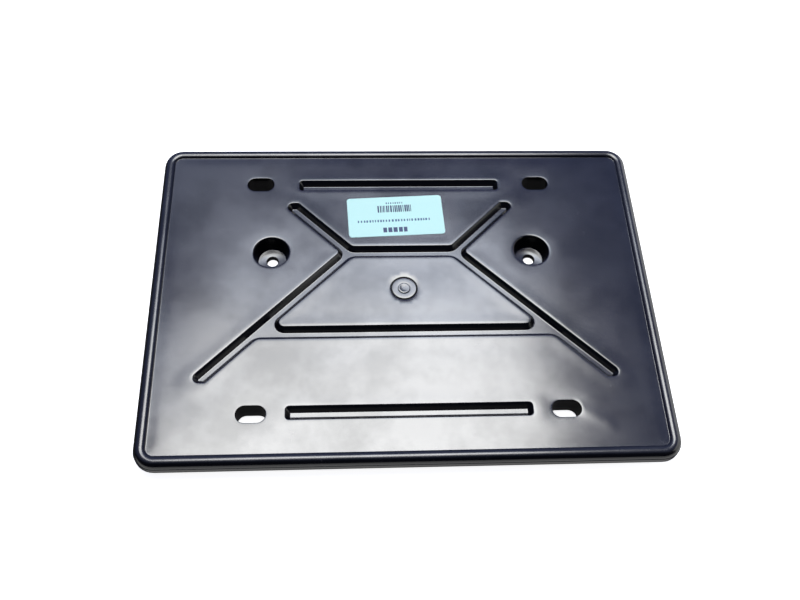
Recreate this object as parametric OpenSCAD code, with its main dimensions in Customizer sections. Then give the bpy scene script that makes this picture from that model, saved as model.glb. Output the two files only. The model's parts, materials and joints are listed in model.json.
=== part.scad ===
// Rear number plate base: one moulded plate with a beaded rim, recessed stiffening channels,
// four slots for the number plate's screws, two deep cups for the mounting bolts, and a paper label.
// It lies face up on its cups and slot collars. Millimetres, origin under the middle of the plate.

/* [Plate] */
// Overall width of the plate
plate_w = 301; // [290:1:330]
// Overall height of the plate
plate_h = 219; // [210:1:245]
// Outer radius of the plate's corners
corner_r = 12; // [10:0.5:20]
// Thickness of the moulded wall
wall_t = 2.5; // [2:0.1:3]
// Height of the face above the surface that the plate lies on
face_z = 13.9; // [12:0.1:18]

/* [Rim] */
// Outer radius of the rounded bead
bead_r = 3.9; // [3.4:0.1:4.6]
// Step between the bead and the skirt under it
ledge_w = 0.3; // [0.1:0.05:0.6]
// Depth of the skirt's edge below the face
skirt_d = 6.5; // [5:0.1:9]

/* [Hole pattern] */
// Distance of the slot pattern's middle above the plate's middle
pattern_y = 1; // [-1:0.1:1.5]
// Distance between the slots across the plate
slot_pitch_x = 176.3; // [170:0.1:182]
// Distance between the slots up the plate
slot_pitch_y = 159.7; // [156:0.1:162]
// End to end length of a slot
slot_len = 16.7; // [12:0.1:20]
// Width of a slot
slot_w = 10.2; // [7:0.1:11]

/* [Mounting cups] */
// Distance between the two mounting holes
cup_pitch = 160; // [150:0.5:175]
// Height of the mounting holes above the slot pattern's middle
cup_y = 27.7; // [15:0.1:35]
// Radius of a cup's mouth inside its rounded lip
cup_mouth_r = 10.6; // [9.6:0.1:11.6]
// Radius of a cup's floor
cup_floor_r = 8.8; // [7:0.1:9.4]
// Thickness of a cup's floor
cup_floor_t = 3.5; // [2.5:0.1:5]
// Radius of the rounding at a cup's lip
cup_lip_r = 1; // [0.4:0.1:1.5]
// Radius of a mounting hole
hole_r = 3.35; // [2.6:0.05:3.6]
// Radius of the countersink at the top of a mounting hole
sink_r = 3.9; // [3.8:0.1:4.8]
// Depth of that countersink
sink_d = 0.5; // [0.3:0.1:1]

/* [Channels] */
// Width of a channel at the face
channel_w = 8.2; // [7.8:0.1:9.6]
// Depth of a channel
channel_d = 3.6; // [3:0.1:4]
// Width that a channel's side takes up across its slope
channel_run = 2.6; // [2:0.1:2.6]
// Overall length of the channel near the top edge
top_len = 127.6; // [100:0.1:140]
// Height of that channel above the pattern's middle
top_y = 78.8; // [72:0.1:84]
// Overall length of the channel near the bottom edge
bottom_len = 138.4; // [100:0.1:150]
// Depth of that channel below the pattern's middle
bottom_y = 79.5; // [72:0.1:84]
// Distance of each junction from the plate's centre line
junction_x = 32.4; // [30:0.1:36]
// Height of the junctions and of the bar between them above the pattern's middle
junction_y = 27.6; // [24:0.1:30]
// Angle of the diagonals from the plate's width
diagonal_a = 45; // [43:0.5:47]
// Height of the upper diagonals' flat ends above the pattern's middle
upper_y = 65; // [54:0.1:67]
// Depth of the lower diagonals' flat ends below the pattern's middle
lower_y = 60.3; // [46:0.1:63]
// Corner radius at the pointed side of a diagonal's end
end_r = 3.4; // [3.2:0.1:4]
// Depth of the lower bar below the pattern's middle
lower_bar_y = 28.6; // [22:0.1:34]
// Corner radius of the raised faces between the channels where two channels fork narrowly
fork_r = 3.2; // [3:0.1:4]
// Corner radius of the raised faces where the channels meet squarely or openly
bend_r = 5; // [3:0.1:6]

/* [Moulding gate] */
// Height of the gate mark above the pattern's middle
gate_y = 0.8; // [-4:0.1:6]
// Radius of the middle of the sunk line round the gate mark
gate_r = 7.7; // [6:0.1:9]
// Width of that line
gate_line_w = 1.2; // [0.8:0.1:1.6]
// Depth of that line
gate_line_d = 0.5; // [0.3:0.1:0.8]
// Rise of the rounded ring inside the line
gate_ring_h = 0.5; // [0.3:0.1:0.8]
// Radius of the sheared stub in the middle
stub_r = 3.6; // [2.5:0.1:4]
// Height of the stub above the face on its tall side
stub_h = 0.9; // [0.6:0.1:1.2]
// Slope of the stub's sheared top
stub_a = 6; // [2:0.5:8]

/* [Label] */
// Width of the paper label
label_w = 60; // [45:0.5:62]
// Height of the paper label
label_h = 30; // [20:0.5:32]
// Thickness of the paper label
label_t = 0.15; // [0.1:0.01:0.3]
// Corner radius of the paper label
label_r = 2; // [0.5:0.1:4]
// Distance of the label's middle to the left of the centre line
label_x = 3.1; // [-4:0.1:5]
// Height of the label's middle above the pattern's middle
label_y = 54.2; // [53:0.1:56]
// Turn of the label on the face
label_a = 2.6; // [-3:0.1:3]

/* [Hidden] */
plastic = [0.16, 0.16, 0.18];
paper = [0.78, 0.96, 1];
round_fn = 96;
// Cuts run this far past the face that they open
over = 1;
// Solids that join run this far into each other
sink = 0.5;
// A rounding cone is this much too small, so that it crosses the walls that it would only touch
bite = 0.02;

sheet_z = face_z - wall_t;
skirt_z = face_z - skirt_d;
bead_x = ledge_w + bead_r;
corner_x = plate_w / 2 - corner_r;
corner_y = plate_h / 2 - corner_r;

side_a = atan2(channel_d, channel_run);
skin_shift = wall_t / sin(side_a);
junction = [junction_x, pattern_y + junction_y];
fork_y = pattern_y - lower_bar_y;
fork_x = junction_x + (junction[1] - fork_y) / tan(diagonal_a);
fork = [fork_x, fork_y];

// Half a length and the height of the two channels that stand alone
top_channel = [top_len / 2, pattern_y + top_y];
bottom_channel = [bottom_len / 2, pattern_y - bottom_y];

// Half the width of a channel at a depth below the face
function channel_half(depth) = channel_w / 2 - depth / tan(side_a);

// A turned unit vector
function unit(a) = [cos(a), sin(a)];

// Corners of the raised faces on the right half: where the channels' middle lines meet, the direction
// from there into the face, half the corner's angle, and its radius
face_corners = [
    [junction, 0, diagonal_a, bend_r],
    [junction, 90 + diagonal_a / 2, 90 - diagonal_a / 2, bend_r],
    [junction, -90 - diagonal_a / 2, 90 - diagonal_a / 2, bend_r],
    [fork, 180 - diagonal_a / 2, diagonal_a / 2, fork_r],
    [fork, -90 - diagonal_a / 2, 90 - diagonal_a / 2, bend_r],
];

// Two copies, one on each side of the plate's centre line
module both_sides() {
    children();
    mirror([1, 0, 0]) children();
}

// The rim's section, with its outer face at x = 0 and the plate at negative x
module rim_section() {
    difference() {
        translate([-bead_x, sheet_z]) circle(r = bead_r, $fn = round_fn);
        translate([-bead_x, sheet_z]) circle(r = bead_r - wall_t, $fn = round_fn);
        translate([-bead_x - bead_r - over, sheet_z - bead_r - over])
            square([2 * bead_r + 2 * over, bead_r + over]);
    }
    translate([-wall_t, skirt_z]) square([wall_t, skirt_d - wall_t]);
}

// The rim: the section run along the four sides and turned round the four corners
module rim() {
    both_sides() {
        translate([corner_x, corner_y, 0]) rotate_extrude(angle = 90, $fn = round_fn)
            translate([corner_r, 0]) rim_section();
        translate([corner_x, -corner_y, 0]) rotate([0, 0, -90]) rotate_extrude(angle = 90, $fn = round_fn)
            translate([corner_r, 0]) rim_section();
        translate([plate_w / 2, corner_y, 0]) rotate([90, 0, 0])
            linear_extrude(2 * corner_y) rim_section();
    }
    for (side = [0, 180]) rotate([0, 0, side])
        translate([-corner_x, plate_h / 2, 0]) rotate([90, 0, 90])
            linear_extrude(2 * corner_x) rim_section();
}

// The flat sheet, out to the middle of the bead's inner foot
module sheet() {
    r = corner_r - bead_x - bead_r + wall_t / 2;
    translate([0, 0, sheet_z]) linear_extrude(wall_t) {
        square([2 * corner_x + 2 * r, 2 * corner_y], center = true);
        square([2 * corner_x, 2 * corner_y + 2 * r], center = true);
        for (x = [-1, 1], y = [-1, 1])
            translate([x * corner_x, y * corner_y]) circle(r = r, $fn = round_fn);
    }
}

// A straight bar from p to q with sloping sides
module bar(p, q, half_low, half_high, z_low, z_high) {
    run = q - p;
    translate([p[0], p[1], 0]) rotate([90, 0, 90 + atan2(run[1], run[0])])
        linear_extrude(norm(run))
            polygon([[-half_low, z_low], [half_low, z_low], [half_high, z_high], [-half_high, z_high]]);
}

// A channel across the plate with sloping sides and ends
module closed_bar(stop, half_low, half_high, z_low, z_high) {
    reach = [stop[0] + channel_w, 0];
    in_low = half_low - channel_w / 2;
    in_high = half_high - channel_w / 2;
    translate([0, stop[1], 0]) intersection() {
        bar(-reach, reach, half_low, half_high, z_low, z_high);
        translate([0, 2 * channel_w, 0]) rotate([90, 0, 0]) linear_extrude(4 * channel_w) polygon([
            [-stop[0] - in_low, z_low], [stop[0] + in_low, z_low],
            [stop[0] + in_high, z_high], [-stop[0] - in_high, z_high]]);
    }
}

// A right diagonal, upwards where way is 1 and downwards where it is -1. Its end lies along the plate's
// width, so one corner of it is pointed, and is rounded with a cone, and the other is open.
module diagonal(way, drop, half_low, half_high, z_low, z_high) {
    along = [cos(diagonal_a), way * sin(diagonal_a)];
    aside = [sin(diagonal_a), -way * cos(diagonal_a)];
    off = channel_w / 2 - end_r;
    stop = junction + (drop - end_r + off * cos(diagonal_a)) / sin(diagonal_a) * along;
    middle = stop + off * aside;
    r_low = half_low - off;
    r_high = half_high - off;
    bar(junction, stop, half_low, half_high, z_low, z_high);
    translate([middle[0], middle[1], z_low]) cylinder(r1 = r_low, r2 = r_high, h = z_high - z_low, $fn = round_fn);
    intersection() {
        bar(junction, stop + 2 * channel_w * along, half_low, half_high, z_low, z_high);
        translate([middle[0] - 4 * channel_w, middle[1], 0]) rotate([90, 0, 90]) linear_extrude(4 * channel_w)
            polygon([[-way * sink, z_low], [way * r_low, z_low], [way * r_high, z_high], [-way * sink, z_high]]);
    }
}

// What rounds a sharp corner of a raised face: the corner's wedge less a cone
module corner_wedge(corner, r_low, r_high, z_low, z_high) {
    half = corner[2];
    way = corner[1];
    middle = corner[0] + (channel_w / 2 + corner[3]) / sin(half) * unit(way);
    difference() {
        translate([0, 0, z_low]) linear_extrude(z_high - z_low) polygon([
            middle,
            middle + r_low * unit(way + 90 + half),
            middle - r_low / sin(half) * unit(way),
            middle + r_low * unit(way - 90 - half),
        ]);
        translate([middle[0], middle[1], z_low])
            cylinder(r1 = r_low - bite, r2 = r_high - bite, h = z_high - z_low, $fn = round_fn);
    }
}

// Every channel, or the ridge behind it: shift widens the section, depths are from the face down
module channels(shift, deep, shallow) {
    low = channel_half(deep) + shift;
    high = channel_half(shallow) + shift;
    z_low = face_z - deep;
    z_high = face_z - shallow;
    closed_bar(top_channel, low, high, z_low, z_high);
    closed_bar(bottom_channel, low, high, z_low, z_high);
    for (end = [junction, fork]) bar([-end[0], end[1]], end, low, high, z_low, z_high);
    both_sides() {
        diagonal(1, upper_y - junction_y, low, high, z_low, z_high);
        diagonal(-1, lower_y + junction_y, low, high, z_low, z_high);
        translate([junction[0], junction[1], z_low])
            cylinder(r1 = low, r2 = high, h = z_high - z_low, $fn = round_fn);
        for (corner = face_corners)
            corner_wedge(corner, corner[3] + channel_w / 2 - low, corner[3] + channel_w / 2 - high,
                z_low, z_high);
    }
}

// The outline of a slot, widened all round by more
module slot_outline(more) {
    straight = slot_len - slot_w;
    square([straight, slot_w + 2 * more], center = true);
    for (x = [-1, 1]) translate([x * straight / 2, 0]) circle(d = slot_w + 2 * more, $fn = round_fn);
}

// One copy at each slot
module at_slots() {
    for (x = [-1, 1], y = [-1, 1])
        translate([x * slot_pitch_x / 2, pattern_y + y * slot_pitch_y / 2, 0]) children();
}

// One copy at each mounting cup
module at_cups() {
    for (x = [-1, 1]) translate([x * cup_pitch / 2, pattern_y + cup_y, 0]) children();
}

// The outside of a mounting cup, as a solid
module cup_body() {
    cylinder(r1 = cup_floor_r + wall_t, r2 = cup_mouth_r + wall_t, h = sheet_z + sink, $fn = round_fn);
}

// The inside of a mounting cup: tapered wall, rounded lip, countersink and through hole
module cup_hollow() {
    lip_z = face_z - cup_lip_r;
    rotate_extrude($fn = round_fn) {
        polygon([[0, cup_floor_t], [cup_floor_r, cup_floor_t], [cup_mouth_r, lip_z],
            [cup_mouth_r, face_z + over], [0, face_z + over]]);
        difference() {
            translate([cup_mouth_r - sink, lip_z]) square([cup_lip_r + sink, cup_lip_r]);
            translate([cup_mouth_r + cup_lip_r, lip_z]) circle(r = cup_lip_r, $fn = round_fn);
        }
    }
    translate([0, 0, cup_floor_t - sink_d])
        cylinder(r1 = hole_r, r2 = sink_r, h = sink_d, $fn = round_fn);
    translate([0, 0, -over]) cylinder(r = hole_r, h = cup_floor_t + 2 * over, $fn = round_fn);
}

// The gate mark's sunk line
module gate_line() {
    translate([0, 0, face_z - gate_line_d]) difference() {
        cylinder(r = gate_r + gate_line_w / 2, h = gate_line_d + over, $fn = round_fn);
        translate([0, 0, -over])
            cylinder(r = gate_r - gate_line_w / 2, h = gate_line_d + 3 * over, $fn = round_fn);
    }
}

// The gate mark's rounded ring and sheared stub
module gate_mark() {
    ring_in = stub_r;
    ring_out = gate_r - gate_line_w / 2;
    chord = (ring_out - ring_in) / 2;
    ring_bow = (chord * chord + gate_ring_h * gate_ring_h) / (2 * gate_ring_h);
    rotate_extrude($fn = round_fn) intersection() {
        translate([ring_in + chord, face_z + gate_ring_h - ring_bow]) circle(r = ring_bow, $fn = round_fn);
        translate([ring_in, face_z - sink]) square([2 * chord, gate_ring_h + 2 * sink]);
    }
    difference() {
        translate([0, 0, face_z - sink]) cylinder(r = stub_r, h = stub_h + sink, $fn = round_fn);
        translate([-stub_r, 0, face_z + stub_h]) rotate([0, stub_a, 0])
            translate([-over, -2 * stub_r, 0]) cube([4 * stub_r, 4 * stub_r, 2 * over]);
    }
}

module base_plate() {
    color(plastic) difference() {
        union() {
            rim();
            sheet();
            channels(skin_shift, channel_d + wall_t, wall_t - sink);
            at_slots() linear_extrude(sheet_z + sink) slot_outline(wall_t);
            at_cups() cup_body();
            translate([0, pattern_y + gate_y, 0]) gate_mark();
        }
        channels(0, channel_d, -over);
        at_slots() translate([0, 0, -over]) linear_extrude(face_z + 2 * over) slot_outline(0);
        at_cups() cup_hollow();
        translate([0, pattern_y + gate_y, 0]) gate_line();
    }
}

module label() {
    color(paper) translate([-label_x, pattern_y + label_y, face_z]) rotate([0, 0, label_a])
        linear_extrude(label_t) {
            square([label_w - 2 * label_r, label_h], center = true);
            square([label_w, label_h - 2 * label_r], center = true);
            for (x = [-1, 1], y = [-1, 1])
                translate([x * (label_w / 2 - label_r), y * (label_h / 2 - label_r)])
                    circle(r = label_r, $fn = round_fn);
        }
}

base_plate();
label();
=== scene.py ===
# %% [markdown]
# # A moulded number plate holder
# The object is one black ABS moulding, 301 mm wide, with a paper label on its face. A glossy dark
# surface shows little but reflections, so its look lies in three things: how its edges are rounded,
# as each rounding squeezes the whole room into one thin bright line, how far from flat its face is,
# and what stands round it. So this lesson builds the moulding as a mesh of its own, ring by ring,
# gives it a skin that mirrors a little unevenly, and then builds a room of lamps for it to mirror.

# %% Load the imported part
import json
import math

import bpy
import numpy as np
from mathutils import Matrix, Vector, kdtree
from mathutils.geometry import delaunay_2d_cdt


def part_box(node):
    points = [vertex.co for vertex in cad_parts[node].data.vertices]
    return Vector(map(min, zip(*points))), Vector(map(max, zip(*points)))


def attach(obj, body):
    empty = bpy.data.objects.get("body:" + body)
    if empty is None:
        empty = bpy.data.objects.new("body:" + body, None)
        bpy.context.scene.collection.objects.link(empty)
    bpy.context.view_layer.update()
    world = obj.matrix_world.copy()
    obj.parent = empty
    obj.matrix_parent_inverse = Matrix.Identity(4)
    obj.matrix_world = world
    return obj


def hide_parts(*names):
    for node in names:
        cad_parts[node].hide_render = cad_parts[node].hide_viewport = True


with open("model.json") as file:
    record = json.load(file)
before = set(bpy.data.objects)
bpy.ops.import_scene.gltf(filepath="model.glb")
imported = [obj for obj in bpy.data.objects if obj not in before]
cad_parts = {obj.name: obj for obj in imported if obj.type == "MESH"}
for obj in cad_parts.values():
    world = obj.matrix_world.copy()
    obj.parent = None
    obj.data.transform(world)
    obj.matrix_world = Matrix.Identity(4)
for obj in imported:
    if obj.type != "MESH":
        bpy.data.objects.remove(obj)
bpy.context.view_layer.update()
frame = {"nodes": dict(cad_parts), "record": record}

print("nodes:", sorted(frame["nodes"]))

# %% [markdown]
# ## The camera comes first
# Every later choice is judged through the camera, so it is set before anything is built. The photograph
# was taken from above the lower edge, a little to the left. A place, a turn and a lens are enough: no
# shift and no depth of field, so that any other view can reuse the same camera.

# %% Camera
MM = 0.001
camera_place = (-34.8, -296.4, 491.1)
camera_turn = (31.347, -2.458, -2.274)
camera_lens = 42.287
sensor_w = 36

camera_data = bpy.data.cameras.new("camera")
camera_data.lens = camera_lens
camera_data.sensor_width = sensor_w
camera = bpy.data.objects.new("camera", camera_data)
camera.location = [c * MM for c in camera_place]
camera.rotation_euler = [math.radians(a) for a in camera_turn]
bpy.context.scene.collection.objects.link(camera)
bpy.context.scene.camera = camera
print("camera at", camera_place, "mm with a lens of", camera_lens, "mm")

# %% [markdown]
# ## Sizes that come from the part
# The looks have to stay on the engineered part, so the sizes are read from it where it states them:
# the box of the moulding, and the two hole patterns that its mounts describe. The sizes that no mount
# mentions, such as the wall, the channels and the roundings, are written here in millimetres.

# %% Sizes
low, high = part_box("base_plate")
plate_w = (high.x - low.x) / MM
plate_h = (high.y - low.y) / MM

mounts = {mount["name"]: mount for mount in frame["record"]["mounts"]}
slot_mount = mounts["plate_slots"]
hole_mount = mounts["mounting_holes"]
slot_mid = [c / MM for c in slot_mount["pos_m"]]
slot_pitch = (slot_mount["dims"]["spacing_x_mm"], slot_mount["dims"]["spacing_y_mm"])
slot_len = slot_mount["dims"]["slot_length_mm"]
slot_w = 2 * slot_mount["dims"]["hole_r_mm"]
cup_mid = [c / MM for c in hole_mount["pos_m"]]
cup_pitch = hole_mount["dims"]["spacing_x_mm"]
hole_r = hole_mount["dims"]["hole_r_mm"]

face_z = slot_mid[2]
pattern_y = slot_mid[1]
wall = 2.5
under_z = face_z - wall
corner_r = 12

channel_half = 4.1
channel_depth = 3.6
channel_run = 2.6
floor_z = face_z - channel_depth
ridge_z = floor_z - wall
print("plate:", round(plate_w, 2), "x", round(plate_h, 2), "mm, face at", round(face_z, 2))

# %% [markdown]
# ## Outlines made of straight sides and arcs
# A rounded channel, a slot and the rim are all the same kind of curve: a closed outline with straight
# sides and round corners, moved inwards step by step while its height changes. Blender's bevel could
# round the edges of a cut mesh, but it fails where channels fork. Working the outlines out directly is
# safer: every ring of one outline has the same number of points, so neighbours join with clean quads.

# %% Outline helpers
side_step = 2.5
arc_steps = 8
least_round = 0.25
turned_back = -0.99


def turned(way, angle):
    """A direction turned to the left by an angle in radians."""
    c = math.cos(angle)
    s = math.sin(angle)
    return np.array([c * way[0] - s * way[1], s * way[0] + c * way[1]])


def ring(corners, inset):
    """The outline moved inwards. A corner is its point and its radius, which is below 0 where the
    outline turns right. The inside lies on the left."""
    points = np.array([corner[0] for corner in corners])
    sides = np.roll(points, -1, axis=0) - points
    lengths = np.linalg.norm(sides, axis=1)
    normals = [turned(side / length, math.pi / 2) for side, length in zip(sides, lengths)]
    arcs = []
    tangents = []
    for i, (point, radius) in enumerate(corners):
        before = normals[i - 1]
        after = normals[i]
        r = radius - inset
        if radius > 0:
            r = max(r, least_round)
        middle = point + (inset + r) * (before + after) / (1 + before @ after)
        bend = math.atan2(before[0] * after[1] - before[1] * after[0], before @ after)
        tangents.append(abs(radius * math.tan(bend / 2)))
        angles = [bend * k / arc_steps for k in range(arc_steps + 1)]
        arcs.append([middle - r * turned(before, angle) for angle in angles])
    made = []
    for i, arc in enumerate(arcs):
        straight = lengths[i] - tangents[i] - tangents[(i + 1) % len(arcs)]
        count = max(1, round(straight / side_step))
        start = arc[-1]
        end = arcs[(i + 1) % len(arcs)][0]
        made += arc + [start + (end - start) * k / count for k in range(1, count)]
    return np.array(made)


def walk_round(stops, half, bend_radii, cap_radii):
    """The outline at half a width to the right of a closed walk. Where the walk turns back, a cap lies
    across it along the plate's width or height, with a radius for each side of the cap."""
    corners = []
    bends = iter(bend_radii)
    for i, stop in enumerate(stops):
        stop = np.array(stop, float)
        back = stop - np.array(stops[i - 1], float)
        ahead = np.array(stops[(i + 1) % len(stops)], float) - stop
        back /= np.linalg.norm(back)
        ahead /= np.linalg.norm(ahead)
        right = turned(back, -math.pi / 2)
        if back @ ahead < turned_back:
            across = np.array([0, 1]) if abs(back[1]) > 0.5 else np.array([1, 0])
            slip = half * (right @ across) / (back @ across) * back
            for side in (stop + half * right - slip, stop - half * right + slip):
                pointed = (side - stop) @ back > 0.01
                corners.append((side, cap_radii[0] if pointed else cap_radii[1]))
        else:
            after = turned(ahead, -math.pi / 2)
            radius = next(bends)
            corners.append((stop + half * (right + after) / (1 + right @ after), radius))
    return corners


def rectangle(middle, width, height, radius):
    """The corners of an upright rectangle with round corners."""
    x, y = middle[0], middle[1]
    signs = ((-1, -1), (1, -1), (1, 1), (-1, 1))
    return [(np.array([x + a * width / 2, y + b * height / 2]), radius) for a, b in signs]


def arc_section(middle, radius, start, end, steps):
    """Section points on an arc. Angles are in degrees from the section's inward axis, up is 90."""
    angles = [math.radians(start + (end - start) * k / steps) for k in range(steps + 1)]
    return [(middle[0] + radius * math.cos(a), middle[1] + radius * math.sin(a)) for a in angles]


print("a side is cut every", side_step, "mm, and a corner into", arc_steps, "steps")

# %% [markdown]
# ## A shell that grows ring by ring
# A mesh is only points and faces. This small builder collects both: it lays a ring at some height,
# bridges two rings with quads, and fills the flat areas between rings with triangles. The flat areas
# need points inside them as well, because the moulding isn't truly flat and the mesh has to bend.
# Triangles with no area, which three points in a row can give, would shade as dark specks, so they
# are left out.

# %% Shell builder
round_steps = 72
row_step = 0.866
grid_gap = 0.55
same_place = 1e-6
least_area = 0.0001
shell_points = []
shell_faces = []


def lay(points, heights):
    """Adds a ring of points and gives their numbers."""
    start = len(shell_points)
    heights = np.broadcast_to(heights, len(points))
    shell_points.extend((float(p[0]), float(p[1]), float(z)) for p, z in zip(points, heights))
    return list(range(start, start + len(points)))


def bridge(a, b):
    """Joins two rings of the same length with quads."""
    for i in range(len(a)):
        j = (i + 1) % len(a)
        shell_faces.append((a[i], a[j], b[j], b[i]))


def chain(rings):
    """Bridges each ring to the next, and gives the first and the last."""
    for a, b in zip(rings, rings[1:]):
        bridge(a, b)
    return rings[0], rings[-1]


def sweep(corners, section):
    """Lays the outline once for each section point, an inset and a height, and bridges them all."""
    return chain([lay(ring(corners, inset), z) for inset, z in section])


def circle(middle, radius):
    """The points of a circle."""
    angles = np.arange(round_steps) * 2 * math.pi / round_steps
    return np.array(middle) + radius * np.stack([np.cos(angles), np.sin(angles)], axis=1)


def turn(middle, section):
    """Turns a section of radius and height pairs round an upright axis."""
    return chain([lay(circle(middle, radius), z) for radius, z in section])


def inside(points, loops):
    """Which points lie inside an odd number of loops."""
    hits = np.zeros(len(points), int)
    for loop in loops:
        a = np.array([shell_points[i][:2] for i in loop])
        b = np.roll(a, -1, axis=0)
        for p, q in zip(a, b):
            across = (p[1] > points[:, 1]) != (q[1] > points[:, 1])
            if across.any():
                x = p[0] + (points[across, 1] - p[1]) * (q[0] - p[0]) / (q[1] - p[1])
                hits[across] += points[across, 0] < x
    return hits % 2 == 1


def grid_spots(loops, flat, grid):
    """Rows of points a grid step apart between the loops, none of them close to a loop's points."""
    rows = np.arange(-plate_h / 2, plate_h / 2, grid * row_step)
    columns = np.arange(-plate_w / 2, plate_w / 2, grid)
    spots = np.array([(x + grid / 2 * (k % 2), y) for k, y in enumerate(rows) for x in columns])
    near = kdtree.KDTree(len(flat))
    for k, p in enumerate(flat):
        near.insert((p[0], p[1], 0), k)
    near.balance()
    spots = spots[inside(spots, loops)]
    return [p for p in spots if near.find((p[0], p[1], 0))[2] > grid * grid_gap]


def fill(loops, grid):
    """Fills the area between the loops with triangles. A grid of 0 adds no points inside it."""
    edge = [i for loop in loops for i in loop]
    z = shell_points[edge[0]][2]
    flat = [shell_points[i][:2] for i in edge]
    links = []
    for loop in loops:
        first = len(links)
        links += [(first + k, first + (k + 1) % len(loop)) for k in range(len(loop))]
    extra = grid_spots(loops, flat, grid) if grid else []
    numbers = edge + lay(extra, z)
    every = [tuple(p) for p in flat] + [tuple(p) for p in extra]
    made = delaunay_2d_cdt(every, links, [], 0, same_place)
    places = np.array([tuple(p) for p in made[0]])
    triangles = np.array(made[2])
    a, b, c = (places[triangles[:, k]] for k in range(3))
    areas = (b[:, 0] - a[:, 0]) * (c[:, 1] - a[:, 1]) - (b[:, 1] - a[:, 1]) * (c[:, 0] - a[:, 0])
    whole = np.abs(areas) > least_area
    kept = triangles[whole & inside(places[triangles].mean(axis=1), loops)]
    source = [numbers[origin[0]] for origin in made[3]]
    shell_faces.extend((source[a], source[b], source[c]) for a, b, c in kept)


print("a turned ring has", round_steps, "points")

# %% [markdown]
# ## The channels
# The channels are sunk into the face to stiffen it: one along the top, one along the bottom, and a
# network of diagonals and bars that leaves an island with the gate mark in the middle. Their walls
# slope at 54 degrees. The face bends down over a gentle shoulder before the lip, which gives the soft
# glow along it, and the lip and the foot are rounded tightly, which gives the sharp bright lines there.
# Behind each channel runs a ridge, one wall lower.

# %% Channel outlines
junction_x = 32.4
junction_rise = 27.6
junction_y = pattern_y + junction_rise
fork_y = pattern_y - 28.6
fork_x = junction_x + junction_y - fork_y
upper_end = 65
lower_end = 60.3
upper_run = upper_end - junction_rise
lower_run = lower_end + junction_rise
top_row = pattern_y + 78.8
top_reach = 63.8
bottom_row = pattern_y - 79.5
bottom_reach = 69.2

junction_r = (junction_x, junction_y)
junction_l = (-junction_x, junction_y)
upper_r = (junction_x + upper_run, junction_y + upper_run)
upper_l = (-upper_r[0], upper_r[1])
lower_r = (junction_x + lower_run, junction_y - lower_run)
lower_l = (-lower_r[0], lower_r[1])
fork_r = (fork_x, fork_y)
fork_l = (-fork_x, fork_y)

apex_round = -2.8
upper_round = -5
below_round = -6.5
island_top_round = -6.5
island_fork_round = -3.2
diagonal_caps = (3.4, 1)
square_caps = (2.3, 2.3)

outer_walk = [fork_r, lower_r, junction_r, upper_r, junction_r,
              junction_l, upper_l, junction_l, lower_l, fork_l]
outer_bends = [below_round, apex_round, upper_round, upper_round, apex_round, below_round]
network = walk_round(outer_walk, channel_half, outer_bends, diagonal_caps)
island_walk = [junction_l, junction_r, fork_r, fork_l]
island_bends = [island_top_round, island_top_round, island_fork_round, island_fork_round]
island = walk_round(island_walk, channel_half, island_bends, diagonal_caps)
top_walk = [(-top_reach, top_row), (top_reach, top_row)]
top_channel = walk_round(top_walk, channel_half, [], square_caps)
bottom_walk = [(-bottom_reach, bottom_row), (bottom_reach, bottom_row)]
bottom_channel = walk_round(bottom_walk, channel_half, [], square_caps)
print("network corners:", len(network), "island corners:", len(island))

# %% Channel sections
lip_r = 0.8
foot_r = 0.5
root_r = 0.6
margin = 0.4
shoulder_w = 2.2
shoulder_slope = 2.5
slope = math.degrees(math.atan2(channel_depth, channel_run))
half_turn = math.tan(math.radians(slope / 2))


def shoulder(lip_x, steps=5):
    """The last stretch of face before a lip, which bends down to the shoulder's slope."""
    drop = math.tan(math.radians(shoulder_slope)) / (2 * (shoulder_w + lip_x))
    stretch = np.linspace(-shoulder_w, lip_x, steps)[:-1]
    return [(x, face_z - drop * (x + shoulder_w) ** 2) for x in stretch]


def lip(steep, radius, steps=6):
    """A shoulder and a rounded lip that runs into a wall as steep as this, in degrees, at inset 0.
    The lip's place and the shoulder's fall depend on each other, and settle in a few rounds."""
    a = math.radians(steep)
    lip_x = 0
    for settling in range(4):
        sunk = math.tan(math.radians(shoulder_slope)) * (shoulder_w + lip_x) / 2
        middle_z = face_z - sunk - radius * math.cos(math.radians(shoulder_slope))
        middle_x = (-radius - (middle_z - face_z) * math.cos(a)) / math.sin(a)
        lip_x = middle_x + radius * math.sin(math.radians(shoulder_slope))
    arc = arc_section((middle_x, middle_z), radius, 90 - shoulder_slope, 90 - steep, steps)
    return shoulder(lip_x) + arc


foot_in = channel_run + foot_r * half_turn
channel_section = lip(slope, lip_r)
channel_section += arc_section((foot_in, floor_z + foot_r), foot_r, 270 - slope, 270, 4)
channel_section += [(foot_in + margin, floor_z)]

ridge_back = wall * half_turn
ridge_out = -ridge_back - root_r * half_turn
ridge_in = channel_run - ridge_back + root_r * half_turn
ridge_section = [(ridge_out - margin, under_z)]
ridge_section += arc_section((ridge_out, under_z - root_r), root_r, 90, 90 - slope, 3)
ridge_section += arc_section((ridge_in, ridge_z + root_r), root_r, 270 - slope, 270, 3)
ridge_section += [(ridge_in + margin, ridge_z)]
print("channel section points:", len(channel_section), "slope:", round(slope, 1), "degrees")

# %% Channels
face_loops = []
under_loops = []
for group in ([network, island], [top_channel], [bottom_channel]):
    tops = [sweep(corners, channel_section) for corners in group]
    backs = [sweep(corners, ridge_section) for corners in group]
    fill([last for first, last in tops], 0)
    fill([last for first, last in backs], 0)
    face_loops += [first for first, last in tops]
    under_loops += [first for first, last in backs]
print("points after the channels:", len(shell_points))

# %% [markdown]
# ## The rim
# The rim is a rounded bead with a skirt under it, and a small step where the two halves of the mould
# met. One section, swept round the plate, makes it: from the face over the bead and down the skirt,
# then back under the bead to the underside. The bead's foot and the step are only three tenths of a
# millimetre wide, and still they draw the dark and bright lines along the rim, so they are built and
# not painted.

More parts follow.
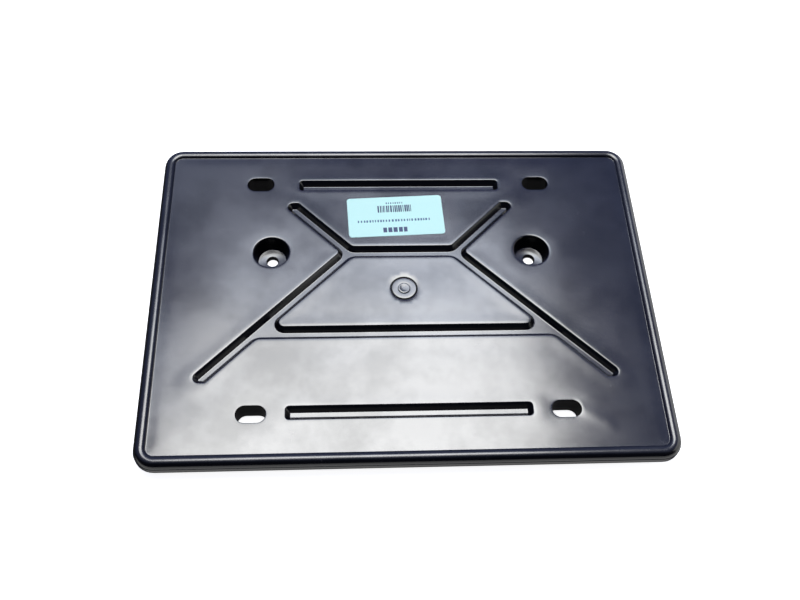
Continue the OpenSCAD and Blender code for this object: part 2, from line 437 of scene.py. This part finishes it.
# %% Rim
bead_r = 3.9
ledge_w = 0.3
skirt_z = face_z - 6.5
rim_foot_r = 0.35
step_r = 0.25
edge_r = 0.5

bead_in = ledge_w + bead_r
foot_rise = face_z + rim_foot_r - under_z
foot_reach = math.sqrt((bead_r + rim_foot_r) ** 2 - foot_rise ** 2)
foot_angle = math.degrees(math.atan2(foot_rise, foot_reach))
foot_middle = (bead_in + foot_reach, face_z + rim_foot_r)

rim_section = [(foot_middle[0] + margin, face_z)]
rim_section += arc_section(foot_middle, rim_foot_r, 270, 180 + foot_angle, 6)
rim_section += arc_section((bead_in, under_z), bead_r, foot_angle, 180, 24)[1:]
rim_section += arc_section((step_r, under_z - step_r), step_r, 90, 180, 3)
rim_section += arc_section((edge_r, skirt_z + edge_r), edge_r, 180, 270, 4)
rim_section += arc_section((wall - edge_r, skirt_z + edge_r), edge_r, 270, 360, 4)
rim_section += [(wall, under_z - step_r)]
rim_section += arc_section((bead_in, under_z), bead_r - wall, 180, 0, 8)
rim_section += [(bead_in + bead_r - wall + margin, under_z)]

rim_corners = rectangle((0, 0), plate_w, plate_h, corner_r)
rim_top, rim_under = sweep(rim_corners, rim_section)
face_loops.append(rim_top)
under_loops.append(rim_under)
print("rim rings:", len(rim_section), "points round:", len(rim_top))

# %% [markdown]
# ## Slots, cups and the gate mark
# The slots' collars and the cups run down to what the plate stands on. Sections that start on the face
# and end on the underside build each one whole. The gate mark is where the plastic entered the mould:
# a sunk line, an almost flat ring and the stub that was sheared off, a little out of level.

# %% Slots and cups
slot_lip_r = 0.3
cap_flat = 0.1
slot_section = lip(90, slot_lip_r)
slot_section += [(0, face_z / 2)]
slot_section += arc_section((-step_r, step_r), step_r, 0, -90, 3)
slot_section += arc_section((step_r - wall, step_r), step_r, 270, 180, 3)
slot_section += arc_section((-wall - root_r, under_z - root_r), root_r, 0, 90, 3)
slot_section += [(-wall - root_r - margin, under_z)]

for side in (-1, 1):
    for end in (-1, 1):
        middle = (side * slot_pitch[0] / 2, pattern_y + end * slot_pitch[1] / 2)
        corners = rectangle(middle, slot_len, slot_w, slot_w / 2 - cap_flat)
        slot_top, slot_under = sweep(corners, slot_section)
        face_loops.append(slot_top)
        under_loops.append(slot_under)

cup_mouth_r = 10.6
cup_lip_r = 1
cup_floor_r = 8.8
cup_floor_z = 3.5
cup_foot_r = 0.4
sink_r = 3.9
sink_depth = 0.5
cup_drop = face_z - cup_lip_r - cup_floor_z
cup_draft = math.degrees(math.atan2(cup_mouth_r - cup_floor_r, cup_drop))
foot_x = cup_floor_r - cup_foot_r * math.tan(math.radians(45 - cup_draft / 2))

cup_edge_r = cup_mouth_r + cup_lip_r * math.tan(math.radians(cup_draft))
cup_section = [(cup_edge_r - x, z) for x, z in lip(90 - cup_draft, cup_lip_r)]
cup_section += arc_section((foot_x, cup_floor_z + cup_foot_r), cup_foot_r, -cup_draft, -90, 5)
cup_section += arc_section((sink_r, cup_floor_z - sink_depth), sink_depth, 90, 180, 6)
cup_section += arc_section((hole_r + step_r, step_r), step_r, 180, 270, 3)
cup_section += arc_section((cup_floor_r + wall - step_r, step_r), step_r, 270, 360 - cup_draft, 3)
root_x = cup_mouth_r + wall + root_r
cup_section += arc_section((root_x, under_z - root_r), root_r, 180 - cup_draft, 90, 3)
cup_section += [(root_x + margin, under_z)]

for side in (-1, 1):
    cup_top, cup_under = turn((side * cup_pitch / 2, cup_mid[1]), cup_section)
    face_loops.append(cup_top)
    under_loops.append(cup_under)
print("openings in the face:", len(face_loops))

# %% Gate mark
gate_middle = (0, pattern_y + 0.8)
gate_line_r = 7.7
gate_line_half = 0.5
gate_line_depth = 0.9
gate_ring_rise = 0.07
stub_r = 3.6
stub_rise = 0.4
stub_slope = 0.07
stub_profile = ((stub_r, 0.55), (stub_r - 0.12, 0.9), (stub_r - 0.4, 1), (stub_r - 1.2, 0.82), (0.7, 0.7))

gate_section = [(gate_line_r + gate_line_half + 2 * margin, face_z)]
line_angles = np.linspace(0.15, math.pi - 0.3, 7)
gate_section += [(gate_line_r + gate_line_half * math.cos(a), face_z - gate_line_depth * math.sin(a))
                 for a in line_angles]
ring_out = gate_line_r - gate_line_half
ring_mid = (ring_out + stub_r) / 2
ring_half = (ring_out - stub_r) / 2
ring_angles = np.linspace(0.25, math.pi - 0.1, 9)
gate_section += [(ring_mid + ring_half * math.cos(a), face_z + gate_ring_rise * math.sin(a))
                 for a in ring_angles]
gate_top, stub_foot = turn(gate_middle, gate_section)

stub_rings = [stub_foot]
for radius, share in stub_profile:
    points = circle(gate_middle, radius)
    stub_rings.append(lay(points, face_z + share * (stub_rise - stub_slope * points[:, 0])))
chain(stub_rings)
shell_faces.append(tuple(stub_rings[-1]))
face_loops.append(gate_top)
print("gate mark:", len(gate_section), "rings and a stub of", len(stub_rings))

# %% [markdown]
# ## The face and the underside
# What is left between the rings is flat sheet. Real moulded sheet never is quite flat: it sinks round
# the collars and cups, where thick plastic shrank, stands a little higher along the channels, bows
# between them and falls towards the rim. Beside the lower right slot two streams of plastic met in the
# mould, and their weld shows as a faint ridge. A tenth of a millimetre is enough to bend the reflection
# of a lamp, and it is far too little to see as a shape. It could be a bump in the material, but then
# it would be lost in the mesh, so the whole shell is moved by one smooth function.

# %% Face and underside
face_grid = 2.5
under_grid = 5

fill(face_loops, face_grid)
fill(under_loops, under_grid)
print("shell:", len(shell_points), "points,", len(shell_faces), "faces")

# %% Swell
channel_stretches = [(upper_l, junction_l), (junction_l, lower_l), (upper_r, junction_r),
                     (junction_r, lower_r), (junction_l, junction_r), (fork_l, fork_r),
                     top_walk, bottom_walk]
weld_start = np.array([slot_pitch[0] / 2 + 8, pattern_y - slot_pitch[1] / 2])
weld_line = (weld_start, weld_start + (15, -10))
face_rise = 0.1
channel_rise = 0.1
weld_rise = 0.1
cup_sink = 0.08
slot_sink = 0.07
wide_reach = 5
tight_reach = 3.5
still_z = 4
sharp_angle = 40


def near_edge(distance, reach):
    """1 on an edge, falling to 0 some way from it."""
    return np.exp(-(distance / reach) ** 2)


def off_stretch(x, y, start, end):
    """How far points lie from a straight stretch."""
    way = np.subtract(end, start)
    along = ((x - start[0]) * way[0] + (y - start[1]) * way[1]) / (way @ way)
    along = np.clip(along, 0, 1)
    return np.hypot(x - start[0] - along * way[0], y - start[1] - along * way[1])


def swell(x, y):
    """How far the moulding stands above its flat shape, in millimetres. The first two lines are slow
    waves, 50 to 200 mm long."""
    bow = 0.05 * np.sin(x / 31 + 1.3) * np.cos(y / 27 - 0.4)
    bow += 0.03 * np.sin((x + 1.3 * y) / 19 + 2) + 0.02 * np.sin((1.2 * x - y) / 13)
    for side in (-1, 1):
        cup = np.hypot(x - side * cup_pitch / 2, y - cup_mid[1]) - cup_mouth_r
        bow -= cup_sink * near_edge(cup, wide_reach)
        for end in (-1, 1):
            dx = np.abs(x - side * slot_pitch[0] / 2) - (slot_len - slot_w) / 2
            dy = y - pattern_y - end * slot_pitch[1] / 2
            slot = np.hypot(np.maximum(dx, 0), dy) - slot_w / 2
            bow -= slot_sink * near_edge(slot, wide_reach)
    channel = np.min([off_stretch(x, y, start, end) for start, end in channel_stretches], axis=0)
    bow += channel_rise * near_edge(np.maximum(channel - channel_half, 0), wide_reach)
    bow += weld_rise * near_edge(off_stretch(x, y, *weld_line), tight_reach)
    rim_distance = np.minimum(plate_w / 2 - np.abs(x), plate_h / 2 - np.abs(y)) - foot_middle[0]
    return (bow + face_rise) * (1 - near_edge(np.maximum(rim_distance, 0), tight_reach))


def take_shell(name):
    """Turns what was laid into an object, bent by the swell, and clears the builder. The feet that the
    plate stands on keep still, and the bend grows from there up to the underside."""
    points = np.array(shell_points)
    share = np.clip((points[:, 2] - still_z) / (under_z - still_z), 0, 1)
    points[:, 2] += share * swell(points[:, 0], points[:, 1])
    mesh = bpy.data.meshes.new(name)
    faces = [tuple(int(i) for i in face) for face in shell_faces]
    mesh.from_pydata((points * MM).tolist(), [], faces)
    mesh.validate()
    made = bpy.data.objects.new(name, mesh)
    bpy.context.scene.collection.objects.link(made)
    bpy.context.view_layer.objects.active = made
    bpy.ops.object.select_all(action="DESELECT")
    made.select_set(True)
    bpy.ops.object.mode_set(mode="EDIT")
    bpy.ops.mesh.select_all(action="SELECT")
    bpy.ops.mesh.normals_make_consistent(inside=False)
    bpy.ops.object.mode_set(mode="OBJECT")
    mesh.shade_smooth()
    mesh.set_sharp_from_angle(angle=math.radians(sharp_angle))
    shell_points.clear()
    shell_faces.clear()
    print(name, "has", len(mesh.vertices), "points and", len(mesh.polygons), "faces")
    return made


# %% The moulding
moulding = take_shell("moulded_plate")
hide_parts("base_plate")
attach(moulding, "root")

# %% [markdown]
# ## The label
# The label is a coated paper sticker, a little crooked on the face. It is a thin shell that follows the
# swell of the plastic under it. Its print is generic: bars, and rows of plain strokes that say nothing
# where such a label has words. It could be painted by a texture, but the strokes are thin pieces of
# ink on the paper, so that they stay sharp in any view.

# %% Label
label_w = 60
label_h = 30
label_t = 0.15
label_middle = (-3.1, pattern_y + 54.2)
label_turn = math.radians(2.6)
label_round = 2
label_lap = 0.5


def on_label(points):
    """Moves points from the label's own middle and directions to the plate's."""
    return np.array([turned(p, label_turn) for p in points]) + label_middle


label_corners = rectangle((0, 0), label_w, label_h, label_round)
label_corners = [(on_label([point])[0], radius) for point, radius in label_corners]
label_z = face_z + label_t
label_section = [(label_lap, face_z), (0, face_z), (0, label_z), (label_lap, label_z)]
label_under, label_top = sweep(label_corners, label_section)
fill([label_under], 0)
fill([label_top], face_grid)
label_sheet = take_shell("label_sheet")
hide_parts("label")
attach(label_sheet, "root")

# %% Print on the label
ink_t = 0.012
chance_seed = 5


def print_block(left, right, bottom, top):
    """A flat block of ink, with a skirt down to the paper."""
    corners = rectangle(((left + right) / 2, (bottom + top) / 2), right - left, top - bottom, 0)
    block = on_label([corner[0] for corner in corners])
    lower = lay(block, label_z)
    upper = lay(block, label_z + ink_t)
    bridge(lower, upper)
    shell_faces.append(tuple(upper))


def print_row(left, right, bottom, top, widths, gaps, chance):
    """A row of strokes whose widths and gaps are drawn by chance."""
    x = left
    while x < right:
        width = chance.uniform(*widths)
        print_block(x, min(x + width, right), bottom, top)
        x += width + chance.uniform(*gaps)


chance = np.random.default_rng(chance_seed)
print_row(-11, 10.5, 3.2, 8.4, (0.3, 1.1), (0.3, 0.7), chance)
label_bars = take_shell("label_bars")
print_row(-5.5, 5, 9.6, 10.8, (0.5, 0.9), (0.6, 0.9), chance)
print_row(-24, 22, -4.2, -2.5, (0.6, 1.2), (0.5, 1.1), chance)
label_words = take_shell("label_words")
print_row(-8.5, 7, -12.2, -8.6, (2.2, 2.7), (0.7, 0.9), chance)
label_number = take_shell("label_number")
for ink in (label_bars, label_words, label_number):
    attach(ink, "root")

# %% [markdown]
# ## A short way to write materials
# A material is a small graph. One function adds a node, sets it and links it, so that each material
# below reads like a list of what it is made of. Colours are written as on screen, and turned to the
# linear values that the renderer works with.

# %% Material helpers


def colour(code):
    """The linear colour of an sRGB hex code, with full opacity."""
    parts = [int(code[i:i + 2], 16) / 255 for i in (1, 3, 5)]
    return [c / 12.92 if c <= 0.04045 else ((c + 0.055) / 1.055) ** 2.4 for c in parts] + [1]


def add_node(tree, kind, settings, links):
    """A node, with values for its sockets or its own settings, and links into its sockets."""
    node = tree.nodes.new(kind)
    for name, value in settings.items():
        if isinstance(name, int) or name in node.inputs:
            node.inputs[name].default_value = value
        else:
            setattr(node, name, value)
    for name, socket in links.items():
        tree.links.new(socket, node.inputs[name])
    return node


def new_material(name):
    """An empty material with its Principled shader, and its node tree."""
    made = bpy.data.materials.new(name)
    made.use_nodes = True
    tree = made.node_tree
    shader = tree.nodes["Principled BSDF"]
    return made, tree, shader


def give(piece, material):
    """Puts a material on the whole piece."""
    piece.data.materials.clear()
    piece.data.materials.append(material)


def per_mm(size):
    """The texture scale that gives details of this size in millimetres."""
    return 1 / (size * MM)


def spread(start, end, first, last):
    """Settings for a Map Range node that turns the values from start to end into first to last."""
    return {"From Min": start, "From Max": end, "To Min": first, "To Max": last}


print("mid grey is", round(colour("#808080")[0], 3), "in linear light")

# %% [markdown]
# ## Moulded ABS
# The moulding is black ABS, injected into a polished steel mould. Its own colour is almost nothing,
# a few parts in a thousand, and what shows is the room in its surface: ABS mirrors about 4 percent of
# it, blurred by a fine texture. The flat face has been handled. That leaves a thin film which mirrors
# a little more, cloudy where a hand or a cloth wiped it, smears of roughness as wide as a fingertip,
# and a few hairline scratches. The film lies only where the surface faces up, so the channel walls
# mirror less: that is painted shade, which keeps them dark. The bead is duller, as it wears first.
# The film is the shader's coat, its weight driven by the surface's direction and by noise. Its
# roughness and both indices of refraction are the same everywhere, so they are set on the shader itself.

# %% Moulded ABS, its roughness
abs_ior = 1.53
abs_rough = 0.178
film_ior = 1.6
film_rough = 0.17
cloud_size = 26
smear_size = 9
rim_dull = 0.12
bead_low = (face_z + 0.5) * MM
bead_high = (face_z + 2) * MM

moulded_abs, tree, shader = new_material("moulded_black_abs")
place = add_node(tree, "ShaderNodeTexCoord", {}, {}).outputs["Object"]
clouds = add_node(tree, "ShaderNodeTexNoise", {"Scale": per_mm(cloud_size), "Detail": 4, "Roughness": 0.55},
                  {"Vector": place})
smears = add_node(tree, "ShaderNodeTexNoise", {"Scale": per_mm(smear_size), "Detail": 3, "Roughness": 0.6},
                  {"Vector": place})
parts = add_node(tree, "ShaderNodeSeparateXYZ", {}, {"Vector": place})
on_rim = add_node(tree, "ShaderNodeMapRange", spread(bead_low, bead_high, 0, rim_dull),
                  {"Value": parts.outputs["Z"]})
cloud_rough = add_node(tree, "ShaderNodeMapRange", spread(0.3, 0.7, abs_rough - 0.02, abs_rough + 0.03),
                       {"Value": clouds.outputs["Fac"]})
smear_rough = add_node(tree, "ShaderNodeMapRange", spread(0.35, 0.7, -0.01, 0.02),
                       {"Value": smears.outputs["Fac"]})
face_rough = add_node(tree, "ShaderNodeMath", {"operation": "ADD"},
                      {0: cloud_rough.outputs["Result"], 1: smear_rough.outputs["Result"]})
rough = add_node(tree, "ShaderNodeMath", {"operation": "ADD"},
                 {0: face_rough.outputs["Value"], 1: on_rim.outputs["Result"]})
print("roughness:", abs_rough, "on the face and", round(abs_rough + rim_dull, 3), "on the bead")

# %% Moulded ABS, its film, with painted shade on the channel walls
rim_film = 0.45
film_least = 0.62

normal = add_node(tree, "ShaderNodeTexCoord", {}, {}).outputs["Normal"]
upright = add_node(tree, "ShaderNodeSeparateXYZ", {}, {"Vector": normal})
# The film follows how upright the surface is, so the channel walls mirror less: painted shade that keeps
# them dark, besides the handled film on the face.
upright_share_wall_shade = add_node(tree, "ShaderNodeMapRange", spread(0.8, 0.97, 0, 1), {"Value": upright.outputs["Z"]})
patches = add_node(tree, "ShaderNodeMapRange", spread(0.35, 0.6, film_least, 1),
                   {"Value": clouds.outputs["Fac"]})
bead_share = add_node(tree, "ShaderNodeMapRange", spread(bead_low, bead_high, 1, rim_film),
                      {"Value": parts.outputs["Z"]})
patchy_film_wall_shade = add_node(tree, "ShaderNodeMath", {"operation": "MULTIPLY"},
                     {0: upright_share_wall_shade.outputs["Result"], 1: patches.outputs["Result"]})
film_and_wall_shade = add_node(tree, "ShaderNodeMath", {"operation": "MULTIPLY"},
                {0: patchy_film_wall_shade.outputs["Value"], 1: bead_share.outputs["Result"]})
print("film weight on the face:", film_least, "to 1")

# %% Moulded ABS, its colour and scratches
scratch_size = 45
scratch_w = 0.1
scratch_most = 0.3
# The texture of a polished mould is near 0.05 mm, too fine to show here, so it is drawn coarser.
grain_size = 0.7

tint = add_node(tree, "ShaderNodeMix", {"data_type": "RGBA", 6: colour("#050507"), 7: colour("#09090c")},
                {0: clouds.outputs["Fac"]})
cells = add_node(tree, "ShaderNodeTexVoronoi",
                 {"feature": "DISTANCE_TO_EDGE", "Scale": per_mm(scratch_size)}, {"Vector": place})
line = add_node(tree, "ShaderNodeMapRange", spread(0, scratch_w / scratch_size, 1, 0),
                {"Value": cells.outputs["Distance"]})
some = add_node(tree, "ShaderNodeMapRange", spread(0.6, 0.66, 0, scratch_most),
                {"Value": smears.outputs["Fac"]})
some_lines = add_node(tree, "ShaderNodeMath", {"operation": "MULTIPLY"},
                      {0: line.outputs["Result"], 1: some.outputs["Result"]})
scratch = add_node(tree, "ShaderNodeMath", {"operation": "MULTIPLY"},
                   {0: some_lines.outputs["Value"], 1: upright_share_wall_shade.outputs["Result"]})
worn = add_node(tree, "ShaderNodeMix", {"data_type": "RGBA", 7: colour("#8c8c92")},
                {0: scratch.outputs["Value"], 6: tint.outputs[2]})
grain = add_node(tree, "ShaderNodeTexNoise", {"Scale": per_mm(grain_size), "Detail": 2}, {"Vector": place})
bump = add_node(tree, "ShaderNodeBump", {"Strength": 0.15, "Distance": 0.01 * MM},
                {"Height": grain.outputs["Fac"]})
shader.inputs["IOR"].default_value = abs_ior
shader.inputs["Coat IOR"].default_value = film_ior
shader.inputs["Coat Roughness"].default_value = film_rough
tree.links.new(film_and_wall_shade.outputs["Value"], shader.inputs["Coat Weight"])
tree.links.new(rough.outputs["Value"], shader.inputs["Roughness"])
tree.links.new(worn.outputs[2], shader.inputs["Base Color"])
tree.links.new(bump.outputs["Normal"], shader.inputs["Normal"])
give(moulding, moulded_abs)
print("moulded ABS nodes:", len(tree.nodes))

# %% [markdown]
# ## Coated paper and ink
# Label stock is paper with a thin clay coat: matte, very smooth, with a faint fibre. The ink is a
# dark blue toner that melts into the coat and shines a little more than it. Where the strokes are
# finer than the eye can part, paper shows between them, so the small rows have a lighter toner.

# %% Coated paper
# Paper fibres are near 0.03 mm wide, too fine to show here, so they are drawn as coarse as flocks.
fibre_size = 0.8
paper_rough = 0.5
paper_ior = 1.5

coated_paper, tree, shader = new_material("coated_label_paper")
place = add_node(tree, "ShaderNodeTexCoord", {}, {}).outputs["Object"]
fibre = add_node(tree, "ShaderNodeTexNoise", {"Scale": per_mm(fibre_size), "Detail": 4, "Roughness": 0.6},
                 {"Vector": place})
paper_tint = add_node(tree, "ShaderNodeMix",
                      {"data_type": "RGBA", 6: colour("#c8f9f0"), 7: colour("#d2fdf5")},
                      {0: fibre.outputs["Fac"]})
paper_bump = add_node(tree, "ShaderNodeBump", {"Strength": 0.15, "Distance": 0.01 * MM},
                      {"Height": fibre.outputs["Fac"]})
shader.inputs["Roughness"].default_value = paper_rough
shader.inputs["IOR"].default_value = paper_ior
tree.links.new(paper_tint.outputs[2], shader.inputs["Base Color"])
tree.links.new(paper_bump.outputs["Normal"], shader.inputs["Normal"])
give(label_sheet, coated_paper)
print("coated paper nodes:", len(tree.nodes))

# %% Toner
# Toner grains are near 0.01 mm, so this draws the unevenness of a whole dot of print.
speck_size = 0.5
toner_rough = 0.4
toners = ((label_bars, "#141c3c", "bar_toner"), (label_words, "#2f6b94", "fine_toner"),
          (label_number, "#131f55", "bold_toner"))

for ink, code, name in toners:
    toner, tree, shader = new_material(name)
    place = add_node(tree, "ShaderNodeTexCoord", {}, {}).outputs["Object"]
    speck = add_node(tree, "ShaderNodeTexNoise", {"Scale": per_mm(speck_size), "Detail": 2},
                     {"Vector": place})
    ink_tint = add_node(tree, "ShaderNodeMix", {"data_type": "RGBA", 6: colour(code), 7: colour("#35507c")},
                        {0: speck.outputs["Fac"]})
    tree.links.new(ink_tint.outputs[2], shader.inputs["Base Color"])
    shader.inputs["Roughness"].default_value = toner_rough
    give(ink, toner)
print("toners:", [name for ink, code, name in toners])

# %% [markdown]
# ## Floor
# The plate lies on white paper. The floor is white to the camera by its own glow, and no lamp is raised
# for it, while its matte paper still takes the plate's shadow. The plate mirrors the floor too: white in
# front of it and to its right, where the paper's glow reaches the edge, and dark everywhere else. Under
# the plate above all the paper has to be dark in a mirror, which keeps the cups and slots deep.

# %% Floor
floor_size = 4
floor_glow = 0.93
mirror_least = 0.05
mirror_reach = 7

bpy.ops.mesh.primitive_plane_add(size=floor_size, location=(0, 0, 0))
floor = bpy.context.object
floor.name = "floor"

floor_paint = bpy.data.materials.new("white_paper_floor")
floor_paint.use_nodes = True
tree = floor_paint.node_tree
tree.nodes.clear()
rays = add_node(tree, "ShaderNodeLightPath", {}, {})
seen = add_node(tree, "ShaderNodeMath", {"operation": "MAXIMUM"},
                {0: rays.outputs["Is Camera Ray"], 1: rays.outputs["Is Transmission Ray"]})
glow_share = add_node(tree, "ShaderNodeMath", {"operation": "MULTIPLY", 1: floor_glow},
                      {0: seen.outputs["Value"]})
place = add_node(tree, "ShaderNodeTexCoord", {}, {}).outputs["Object"]
apart = add_node(tree, "ShaderNodeSeparateXYZ", {}, {"Vector": place})
front_edge = spread(-plate_h / 2 * MM, (-plate_h / 2 - mirror_reach) * MM, mirror_least, 1)
front = add_node(tree, "ShaderNodeMapRange", front_edge, {"Value": apart.outputs["Y"]})
right_edge = spread(plate_w / 2 * MM, (plate_w / 2 + mirror_reach) * MM, mirror_least, 1)
right = add_node(tree, "ShaderNodeMapRange", right_edge, {"Value": apart.outputs["X"]})
beside = add_node(tree, "ShaderNodeMath", {"operation": "MAXIMUM"},
                  {0: front.outputs["Result"], 1: right.outputs["Result"]})
mirrored = add_node(tree, "ShaderNodeMath", {"operation": "MULTIPLY"},
                    {0: rays.outputs["Is Glossy Ray"], 1: beside.outputs["Value"]})
strength = add_node(tree, "ShaderNodeMath", {"operation": "ADD"},
                    {0: glow_share.outputs["Value"], 1: mirrored.outputs["Value"]})
glow = add_node(tree, "ShaderNodeEmission", {"Color": (1, 1, 1, 1)},
                {"Strength": strength.outputs["Value"]})
paper = add_node(tree, "ShaderNodeMix", {"data_type": "RGBA", 6: colour("#f2f2f2"), 7: colour("#3a3a3c")},
                 {0: rays.outputs["Is Glossy Ray"]})
matte = add_node(tree, "ShaderNodeBsdfDiffuse", {}, {"Color": paper.outputs[2]})
both = add_node(tree, "ShaderNodeAddShader", {}, {0: glow.outputs["Emission"], 1: matte.outputs["BSDF"]})
add_node(tree, "ShaderNodeOutputMaterial", {}, {"Surface": both.outputs["Shader"]})
give(floor, floor_paint)
print("floor:", floor_size, "m wide, nodes:", len(tree.nodes))

# %% [markdown]
# ## Light
# A dark glossy plate is lit by giving it something to mirror. A soft light in a studio is bright in its
# middle and fades at its edges, so one even lamp would draw a hard patch on the face. A bank of panels
# side by side makes the same light here, each with the radiance that its part of the face shows. Most
# of them hang over the far side, so that their picture lies on the near half of the face. A faint
# panel straight overhead shows in the roundings that lean a little towards the camera, and a white
# card that stands at the right shows along the bead there. Radiance, and not power, is what a mirror
# shows, so each lamp's power is worked out from its radiance and its area.

# %% Lights
plain_light = "#fffffc"
cool_light = "#eaf2ff"
lamp_height = 1500
panels = (
    ("front_panel", -450, 400, -150, 200, 1.6, plain_light),
    ("near_panel", -450, 400, 200, 430, 8.1, plain_light),
    ("middle_panel", -500, 455, 430, 620, 7.2, plain_light),
    ("left_panel", -750, -380, 620, 830, 1.9, cool_light),
    ("core_left_panel", -380, -60, 620, 830, 5.8, plain_light),
    ("core_right_panel", -60, 425, 620, 830, 7.3, plain_light),
    ("far_left_panel", -350, 0, 830, 1080, 3, cool_light),
    ("far_right_panel", 0, 400, 830, 1080, 4.7, cool_light),
    ("dim_far_panel", -750, -150, 1120, 1450, 0.55, cool_light),
)
card_size = (600, 200)
card_place = (0.36, 0.1, 0.1)


def soft_box(name, left, right, near, far, radiance, code):
    """A rectangular lamp overhead, facing down, that looks equally bright from everywhere below it.
    Its sides are in millimetres."""
    data = bpy.data.lights.new(name, "AREA")
    data.shape = "RECTANGLE"
    data.size = (right - left) * MM
    data.size_y = (far - near) * MM
    data.energy = radiance * 4 * data.size * data.size_y
    data.color = colour(code)[:3]
    lamp = bpy.data.objects.new(name, data)
    lamp.location = ((left + right) / 2 * MM, (near + far) / 2 * MM, lamp_height * MM)
    bpy.context.scene.collection.objects.link(lamp)
    return lamp


for panel in panels:
    soft_box(*panel)
right_card = soft_box("right_card", 0, card_size[0], 0, card_size[1], 1, plain_light)
right_card.location = card_place
right_card.rotation_euler = (math.pi / 2, 0, math.pi / 2)
print("lamps:", len(panels) + 1)

# %% [markdown]
# ## The room
# Beyond the lamps the room is dim and bluish, a little brighter high up and far away than behind the
# camera, which keeps the channel walls black. The camera itself sees white there, as it does on the
# floor. Only camera rays are switched, because the plate has to mirror the dim room and not the white.

# %% Room
room_least = 0.047
room_most = 0.56

world = bpy.data.worlds.new("dim_room")
bpy.context.scene.world = world
world.use_nodes = True
tree = world.node_tree
tree.nodes.clear()
rays = add_node(tree, "ShaderNodeLightPath", {}, {})
way = add_node(tree, "ShaderNodeTexCoord", {}, {}).outputs["Generated"]
height = add_node(tree, "ShaderNodeVectorMath", {"operation": "DOT_PRODUCT", 1: (0, 0.8, 0.6)}, {0: way})
room = add_node(tree, "ShaderNodeMapRange", spread(0.1, 0.9, room_least, room_most),
                {"Value": height.outputs["Value"]})
dim = add_node(tree, "ShaderNodeBackground", {"Color": colour("#a8b9fc")},
               {"Strength": room.outputs["Result"]})
white = add_node(tree, "ShaderNodeBackground", {"Color": (1, 1, 1, 1), "Strength": 1}, {})
mix = add_node(tree, "ShaderNodeMixShader", {},
               {0: rays.outputs["Is Camera Ray"], 1: dim.outputs[0], 2: white.outputs[0]})
add_node(tree, "ShaderNodeOutputWorld", {}, {"Surface": mix.outputs[0]})

bpy.context.scene.view_settings.view_transform = "Standard"
print("room strength:", room_least, "to", room_most)
